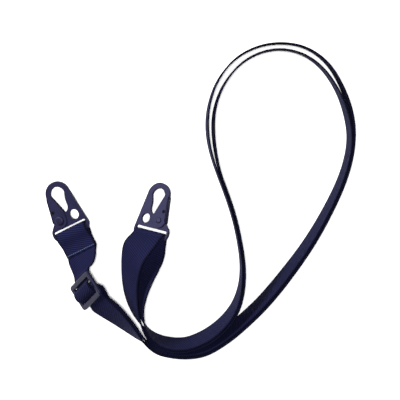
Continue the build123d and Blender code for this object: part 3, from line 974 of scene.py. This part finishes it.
    def make_arch(self) -> bpy.types.Object:
        """The webbing up through the slider, over its bar and down again."""
        profile = [(-13.3, 0.0), (-12.2, 0.3), (-9.8, 1.6), (-7.2, 1.95), (-5.2, 5.4), (-3.7, 8.1),
                   (-1.4, 8.8), (1.4, 8.8), (3.7, 8.1), (5.2, 5.4), (7.2, 1.95), (9.8, 1.6),
                   (11.2, 0.3), (12.3, 0.0)]
        piece = self.through_slider("arch_webbing", profile)
        self.slider.at(7.6 * MM, 0)
        self.slider.at(12.3 * MM, 0)
        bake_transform(piece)
        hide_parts("bar_arch")
        return piece

    def make_return_end(self) -> bpy.types.Object:
        """The strap's end, sewn round the slider's centre bar."""
        rise, radius = 4.45, 2.3
        profile = [(15.0, -1.65), (11.0, -1.7), (7.6, -1.6), (5.2, 0.9), (3.2, rise + 1.6),
                   (1.2, rise + radius), (-1.6, rise + radius), (-2.9, rise), (-1.8, rise - radius),
                   (0.9, rise - radius), (3.0, -0.6), (5.6, -3.1), (9.0, -3.15), (12.5, -2.9),
                   (15.0, -2.4), (16.1, -2.3)]
        piece = self.through_slider("return_end_webbing", profile)
        self.slider.at(4.0 * MM, 0)
        self.slider.at(15.5 * MM, 0)
        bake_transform(piece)
        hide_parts("return_end")
        return piece

    def build(self) -> None:
        """Makes every stretch of webbing."""
        self.make_running_layer()
        self.make_return_layer()
        self.make_bight()
        self.make_tab()
        self.make_arch()
        self.make_return_end()
        log.info("webbing made")


@dataclass
class Sewing:
    """Rows of thread across the webbing."""

    wardrobe: Wardrobe
    strap: Strap
    count: int = 15
    thread: float = 0.27 * MM
    slack: float = 1.2 * MM
    leans: tuple[float, float] = (9, -5)
    length_share: float = 0.36
    flatness: float = 0.75
    from_cut_end: float = 1.6 * MM
    slider_row: tuple[float, float] = (13.0 * MM, -3.7 * MM)

    def row(self, name: str, seat: Seat, along: Vector) -> bpy.types.Object:
        """A row of stitches, each a short rounded thread that dips at both ends.

        Args:
            name: the piece's name.
            seat: the middle of the row, z out of the webbing.
            along: direction of the row.

        Returns:
            The new piece.
        """
        pitch = (self.strap.webbing.width - 2 * self.slack) / self.count
        mesh = bmesh.new()
        for index in range(self.count):
            shift = (index - (self.count - 1) / 2) * pitch
            made = bmesh.ops.create_uvsphere(mesh, u_segments=8, v_segments=6, radius=self.thread)
            lean = Matrix.Rotation(math.radians(self.leans[(index + 1) % 2]), 4, seat.z)
            frame_turn = Matrix((along, seat.z.cross(along), seat.z)).transposed().to_4x4()
            length = pitch * self.length_share / self.thread
            stretch = Matrix.Diagonal((length, 1.0, self.flatness, 1.0))
            place = Matrix.Translation(seat.origin + along * shift)
            bmesh.ops.transform(mesh, matrix=place @ lean @ frame_turn @ stretch,
                                verts=made["verts"])
        piece = new_piece(name, mesh)
        self.wardrobe.dress(piece, Slot.THREAD)
        return piece

    def build(self) -> None:
        """Makes the row at clip A and the row on the slider's sewn end."""
        strap = self.strap
        clip = strap.clip_a
        top = strap.webbing.thickness
        place = clip.at(0, -(strap.fold_length - self.from_cut_end), top)
        fold = self.row("tab_threads", Seat(place, clip.x, clip.y, clip.z), clip.x)
        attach(fold, Body.STRAP.value)
        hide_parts("tab_stitching")
        slider = strap.slider
        under = slider.at(self.slider_row[0], 0, self.slider_row[1])
        row = self.row("return_threads", Seat(under, slider.x, -slider.y, -slider.z), slider.y)
        slider.at(4.0 * MM, 0)
        slider.at(15.5 * MM, 0)
        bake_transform(row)
        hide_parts("return_stitching")
        log.info("stitches made")


# ---------------------------------------------------------------- sheet and moulded shapes
Point = tuple[float, float]


def arc(centre: Point, radius: float, start: float, end: float, steps: int = 20) -> list[Point]:
    """Points along an arc, with its angles in degrees."""
    turns = [math.radians(start + (end - start) * step / steps) for step in range(steps + 1)]
    return [(centre[0] + radius * math.cos(turn), centre[1] + radius * math.sin(turn))
            for turn in turns]


def eased(points: Sequence[Point], cut: float, steps: int = 5) -> list[Point]:
    """An open outline with its inner corners rounded off.

    Args:
        points: the outline's corners.
        cut: how far from each corner the rounding starts, in millimetres.
        steps: pieces in each rounding.

    Returns:
        The rounded outline.
    """
    smooth = [points[0]]
    for before, corner, after in zip(points, points[1:], points[2:]):
        here = Vector(corner)
        into, out = Vector(before) - here, Vector(after) - here
        start = here + into.normalized() * min(cut, into.length * 0.45)
        end = here + out.normalized() * min(cut, out.length * 0.45)
        for step in range(steps + 1):
            t = step / steps
            spot = start * (1 - t) ** 2 + here * (2 * t * (1 - t)) + end * t ** 2
            smooth.append((spot.x, spot.y))
    return [*smooth, points[-1]]


@dataclass
class Slab:
    """A flat sheet or moulding with holes and rounded rims, drawn in millimetres."""

    outline: Sequence[Point]
    holes: Sequence[Sequence[Point]]
    low: float
    high: float
    rim: float
    segments: int = 3

    def add_to(self, mesh: bmesh.types.BMesh) -> None:
        """Adds the slab to a mesh."""
        slab = bmesh.new()
        for loop in (self.outline, *self.holes):
            verts = [slab.verts.new((x, y, self.low)) for x, y in loop]
            for first, second in zip(verts, verts[1:] + verts[:1]):
                slab.edges.new((first, second))
        bmesh.ops.triangle_fill(slab, use_beauty=True, edges=slab.edges[:])
        raised = bmesh.ops.extrude_face_region(slab, geom=slab.faces[:])
        lifted = [item for item in raised["geom"] if isinstance(item, bmesh.types.BMVert)]
        bmesh.ops.translate(slab, vec=(0, 0, self.high - self.low), verts=lifted)
        bmesh.ops.recalc_face_normals(slab, faces=slab.faces[:])
        rims = [edge for edge in slab.edges
                if abs(edge.verts[0].co.z - edge.verts[1].co.z) < LEVEL_MILLIMETRES
                and len(edge.link_faces) == 2
                and edge.calc_face_angle() > SHARPEST_SMOOTH_RIM]
        bmesh.ops.bevel(slab, geom=rims, offset=self.rim, offset_type="OFFSET", profile=0.5,
                        segments=self.segments, affect="EDGES", material=-1, clamp_overlap=True)
        holder = bpy.data.meshes.new("slab")
        slab.to_mesh(holder)
        slab.free()
        mesh.from_mesh(holder)
        bpy.data.meshes.remove(holder)


def finish_mesh(name: str, mesh: bmesh.types.BMesh, seat: Seat) -> bpy.types.Object:
    """Scales a millimetre shape, moves it to its seat and gives its flat faces flat shading."""
    bmesh.ops.scale(mesh, vec=(MM, MM, MM), verts=mesh.verts[:])
    bmesh.ops.transform(mesh, matrix=seat.matrix(), verts=mesh.verts[:])
    piece = new_piece(name, mesh)
    for polygon in piece.data.polygons:
        if abs(polygon.normal.dot(seat.z)) > FACES_SEAT:
            polygon.use_smooth = False
    return piece


@dataclass
class Clip:
    """A flat hook with its webbing slot, and the sprung gate of folded sheet riveted to it."""

    wardrobe: Wardrobe
    letter: str
    body: Body
    gate_body: Body
    thickness: float = 2.4
    slot_half: float = 17.0
    slot_low: float = 2.5
    slot_high: float = 6.9
    base_half: float = 19.4
    base_low: float = -2.5
    bow: Point = (3.6, 36.5)
    hook_radius: float = 12.0
    mouth_radius: float = 7.0
    rivet: Point = (-5.6, 14.8)
    boss_radius: float = 5.05
    hole: Point = (9.8, 14.3)
    hole_radius: float = 4.5
    pin: Point = (-8.1, 23.5)
    pin_hole: float = 1.6
    spring: tuple[Point, ...] = ((-6.2, 20.3), (-5.7, 24.0), (-7.8, 27.2), (-8.2, 30.1))
    wire: float = 0.45
    gate_radius: float = 7.0
    cheek_inner: float = 1.5
    sheet: float = 0.9
    plate_rim: float = 0.45
    sheet_rim: float = 0.22
    rivet_hole: float = 2.1
    rivet_stand: float = 0.15

    def plate_outline(self) -> list[Point]:
        """The hook plate's outside, from the rivet boss round the base and the bow."""
        bow_x, bow_y = self.bow
        rivet_x, rivet_y = self.rivet
        boss_left = rivet_x - self.boss_radius
        base = [(boss_left, rivet_y), (boss_left, rivet_y - 1.2),
                (boss_left - 2.2, rivet_y - 1.2), (-self.base_half + 0.9, self.slot_high + 1.0),
                (-self.base_half + 0.3, self.slot_low), (-self.base_half + 1.8, -0.9),
                (-self.base_half + 4.0, self.base_low), (self.base_half - 3.4, self.base_low),
                (self.base_half - 0.4, 0.9), (self.base_half, self.slot_low + 0.8),
                (bow_x + self.hook_radius, bow_y)]
        inside = [(bow_x + self.mouth_radius, bow_y), (bow_x + 4.9, bow_y - 5.2),
                  (bow_x + 4.2, bow_y - 9.0), (bow_x + 4.0, bow_y - 13.6),
                  (bow_x + 0.9, bow_y - 17.2), (rivet_x, rivet_y + self.boss_radius)]
        outline = eased(base, 2.2)[:-1] + arc(self.bow, self.hook_radius, 0, 180, 32)
        outline += arc(self.bow, self.mouth_radius, 180, 0, 24)[:-1]
        outline += eased(inside, 2.4)[:-1] + arc(self.rivet, self.boss_radius, 90, 180, 10)[:-1]
        return outline

    def gate_line(self) -> tuple[Point, Point]:
        """The two ends of the gate's outer fold."""
        low = (self.rivet[0] - self.gate_radius + 0.1, self.rivet[1])
        high = (self.bow[0] - self.hook_radius + 0.1, self.bow[1] - 0.3)
        return low, high

    def cheek_outline(self) -> list[Point]:
        """One cheek of the gate."""
        bow_x, bow_y = self.bow
        low, high = self.gate_line()
        nose = [(high[0], high[1] + 0.5), (high[0] + 0.5, bow_y + 1.6),
                (bow_x - self.mouth_radius - 0.8, bow_y + 1.6),
                (bow_x - self.mouth_radius - 0.2, bow_y),
                (self.rivet[0] + self.gate_radius + 0.5, self.rivet[1] + 3.8),
                (self.rivet[0] + self.gate_radius - 0.1, self.rivet[1])]
        return [low, *eased(nose, 1.2), *arc(self.rivet, self.gate_radius - 0.1, 0, -180, 24)[1:-1]]

    def finished(self, name: str, mesh: bmesh.types.BMesh, seat: Seat,
                 slot: Slot = Slot.COATED) -> bpy.types.Object:
        """One of this clip's pieces at its seat, in its slot's material."""
        piece = finish_mesh(f"clip_{self.letter}_{name}", mesh, seat)
        self.wardrobe.dress(piece, slot)
        return piece

    def make_plate(self, seat: Seat) -> None:
        """Makes the hook plate."""
        half = self.thickness / 2
        slot = [(-self.slot_half, self.slot_low), (self.slot_half, self.slot_low),
                (self.slot_half, self.slot_high), (-self.slot_half, self.slot_high),
                (-self.slot_half, self.slot_low), (self.slot_half, self.slot_low)]
        holes = [eased(slot, 1.2)[1:-1], arc(self.hole, self.hole_radius, 0, 345, 23)]
        mesh = bmesh.new()
        Slab(self.plate_outline(), holes, -half, half, self.plate_rim).add_to(mesh)
        plate = self.finished("hook", mesh, seat)
        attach(plate, self.body.value)
        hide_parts(f"clip_{self.letter}_plate")

    def make_gate(self, seat: Seat) -> None:
        """Makes the gate: two cheeks and the rounded fold that joins them."""
        mesh = bmesh.new()
        outer = self.cheek_inner + self.sheet
        holes = [arc(self.pin, self.pin_hole, 0, 340, 17),
                 arc(self.rivet, self.rivet_hole, 0, 340, 17)]
        for low, high in ((self.cheek_inner, outer), (-outer, -self.cheek_inner)):
            Slab(self.cheek_outline(), holes, low, high, self.sheet_rim, 2).add_to(mesh)
        start, end = (Vector(point) for point in self.gate_line())
        out = Vector((start.y - end.y, end.x - start.x)).normalized()
        ring = [(shift * self.sheet, height) for shift, height in
                ((-0.9, outer), (0.1, outer), (0.5, outer - 0.25), (0.65, outer - 0.7))]
        ring += [(shift, -height) for shift, height in reversed(ring)]
        ring += [(-0.35, -self.cheek_inner), (-0.35, self.cheek_inner)]
        ends = []
        for spot in (start + (end - start) * 0.01, end):
            ends.append([mesh.verts.new((*(spot + out * shift), height)) for shift, height in ring])
        skin(mesh, ends)
        gate = self.finished("sprung_gate", mesh, seat)
        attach(gate, self.gate_body.value)
        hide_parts(f"clip_{self.letter}_gate")

    def make_rivet(self, seat: Seat) -> None:
        """Makes the rivet by turning its outline: domed head, shank and small tail."""
        face = self.cheek_inner + self.sheet + self.rivet_stand
        half_section = [(0.0, face + 1.4), (2.6, face + 1.3), (3.7, face + 0.95), (4.2, face + 0.4),
                        (4.3, face), (2.0, face), (2.0, -face), (2.7, -face), (2.65, -face - 0.4),
                        (2.2, -face - 0.75), (1.2, -face - 0.8), (0.0, -face - 0.6)]
        mesh = bmesh.new()
        verts = [mesh.verts.new((radius, 0, height)) for radius, height in half_section]
        edges = [mesh.edges.new(pair) for pair in zip(verts, verts[1:])]
        bmesh.ops.spin(mesh, geom=[*verts, *edges], axis=(0, 0, 1), cent=(0, 0, 0), steps=32,
                       angle=2 * math.pi, use_merge=True)
        bmesh.ops.remove_doubles(mesh, verts=mesh.verts[:], dist=MERGE_MILLIMETRES)
        bmesh.ops.recalc_face_normals(mesh, faces=mesh.faces[:])
        bmesh.ops.translate(mesh, vec=(*self.rivet, 0), verts=mesh.verts[:])
        rivet = self.finished("turned_rivet", mesh, seat, Slot.RIVET)
        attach(rivet, self.body.value)
        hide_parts(f"clip_{self.letter}_rivet")

    def make_spring(self, seat: Seat) -> None:
        """Makes the bent wire from the rivet boss, past the pin, to the gate's fold."""
        line = smooth_line([Vector((x, y, 0)) for x, y in self.spring], 6)
        mesh = bmesh.new()
        rings = []
        for index, spot in enumerate(line):
            behind, ahead = beside(line, index)
            side = (ahead - behind).cross(Vector((0, 0, 1))).normalized()
            rings.append([mesh.verts.new(spot + side * out + Vector((0, 0, height)))
                          for out, height in arc((0, 0), self.wire, 0, 324, 9)])
        skin(mesh, rings)
        spring = self.finished("bent_spring", mesh, seat, Slot.SPRING)
        foot = self.spring[0]
        seat.at(foot[0] * MM, (foot[1] + 0.3) * MM)
        seat.at(foot[0] * MM, (foot[1] + 2.6) * MM)
        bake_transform(spring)
        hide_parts(f"clip_{self.letter}_spring")

    def build(self) -> None:
        """Makes the clip's visible pieces."""
        seat = clip_seat(self.letter)
        self.make_plate(seat)
        self.make_gate(seat)
        self.make_rivet(seat)
        self.make_spring(seat)
        log.info("clip %s made", self.letter)


@dataclass
class Slider:
    """Moulded slider: a rounded frame with a window and a round centre bar."""

    wardrobe: Wardrobe
    seat: Seat
    length: float = 25.0
    width: float = 40.0
    thickness: float = 3.5
    underside: float = 2.7
    window_half: float = 8.0
    window_side: float = 16.2
    corner: float = 3.0
    bar_radius: float = 1.5
    window_corner: float = 1.0
    rim: float = 1.0
    rim_segments: int = 4

    def build(self) -> None:
        """Makes the slider."""
        x, y, corner = self.length / 2, self.width / 2, self.corner
        outline: list[Point] = []
        for cx, cy, start in ((x - corner, y - corner, 0), (corner - x, y - corner, 90),
                              (corner - x, corner - y, 180), (x - corner, corner - y, 270)):
            outline += arc((cx, cy), corner, start, start + 90, 7)
        w, h = self.window_half, self.window_side
        window = eased([(-w, -h), (w, -h), (w, h), (-w, h), (-w, -h), (w, -h)],
                       self.window_corner)[1:-1]
        mesh = bmesh.new()
        top = self.underside + self.thickness
        Slab(outline, [window], self.underside, top, self.rim, self.rim_segments).add_to(mesh)
        turn = Matrix.Rotation(math.pi / 2, 4, "X")
        rise = Matrix.Translation((0, 0, (self.underside + top) / 2))
        bmesh.ops.create_cone(mesh, cap_ends=True, segments=24, radius1=self.bar_radius,
                              radius2=self.bar_radius, depth=2 * h + 1, matrix=rise @ turn)
        frame_piece = finish_mesh("moulded_slider", mesh, self.seat)
        self.wardrobe.dress(frame_piece, Slot.MOULDED)
        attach(frame_piece, Body.SLIDER.value)
        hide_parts("slider_frame")
        log.info("slider made")


# ---------------------------------------------------------------- studio
@dataclass
class Studio:
    """Pale floor, soft light and a long lens straight above."""

    aim: tuple[float, float] = (0.0002, 0.0009)
    height: float = 4.0
    view_width: float = 0.360
    sensor: float = 36.0
    floor_half: float = 2.5
    key_place: tuple[float, float, float] = (-1.15, 0.65, 0.85)
    key_size: float = 0.6
    key_power: float = 40.0
    overhead_power: float = 3.9
    overhead_spread: float = 5.0
    sky_power: float = 0.12

    def build(self) -> None:
        """Makes the floor, the lights and the camera."""
        scene = bpy.context.scene
        camera_data = bpy.data.cameras.new("camera")
        camera_data.sensor_width = self.sensor
        camera_data.lens = self.sensor * self.height / self.view_width
        scene.camera = self.put("camera", camera_data, (*self.aim, self.height))
        self.floor()
        self.key_light()
        self.overhead_light()
        world = bpy.data.worlds.new("studio")
        world.use_nodes = True
        background = world.node_tree.nodes["Background"]
        background.inputs[0].default_value = rgba(1.0, 1.0, 1.0)
        background.inputs[1].default_value = self.sky_power
        scene.world = world
        scene.view_settings.view_transform = "Standard"

    def floor(self) -> None:
        """Makes the floor."""
        mesh = bmesh.new()
        bmesh.ops.create_grid(mesh, x_segments=2, y_segments=2, size=self.floor_half)
        floor = new_piece("floor", mesh, smooth=False)
        floor.data.materials.append(TableFinish().make())
        floor.visible_diffuse = False

    def put(self, name: str, data: bpy.types.ID,
            place: tuple[float, float, float]) -> bpy.types.Object:
        """Puts a light or a camera at a place in the scene."""
        made = bpy.data.objects.new(name, data)
        made.location = place
        bpy.context.scene.collection.objects.link(made)
        return made

    def overhead_light(self) -> None:
        """Makes the nearly parallel light from straight above."""
        data = bpy.data.lights.new("overhead", "SUN")
        data.energy = self.overhead_power
        data.angle = math.radians(self.overhead_spread)
        self.put("overhead", data, (0, 0, self.height))

    def key_light(self) -> None:
        """Makes the square light that faces the middle of the strap."""
        data = bpy.data.lights.new("key", "AREA")
        data.size = self.key_size
        data.energy = self.key_power
        light = self.put("key", data, self.key_place)
        light.rotation_euler = Vector(self.key_place).to_track_quat("Z", "Y").to_euler()


def main() -> None:
    """Builds the studio, the strap and its fittings."""
    Studio().build()
    wardrobe = Wardrobe()
    wardrobe.fill()
    wardrobe.dress_frame()
    strap = Strap(wardrobe)
    strap.build()
    Sewing(wardrobe, strap).build()
    Clip(wardrobe, "a", Body.CLIP_A, Body.GATE_A).build()
    Clip(wardrobe, "b", Body.CLIP_B, Body.GATE_B).build()
    Slider(wardrobe, strap.slider).build()


if __name__ == "__main__":
    main()
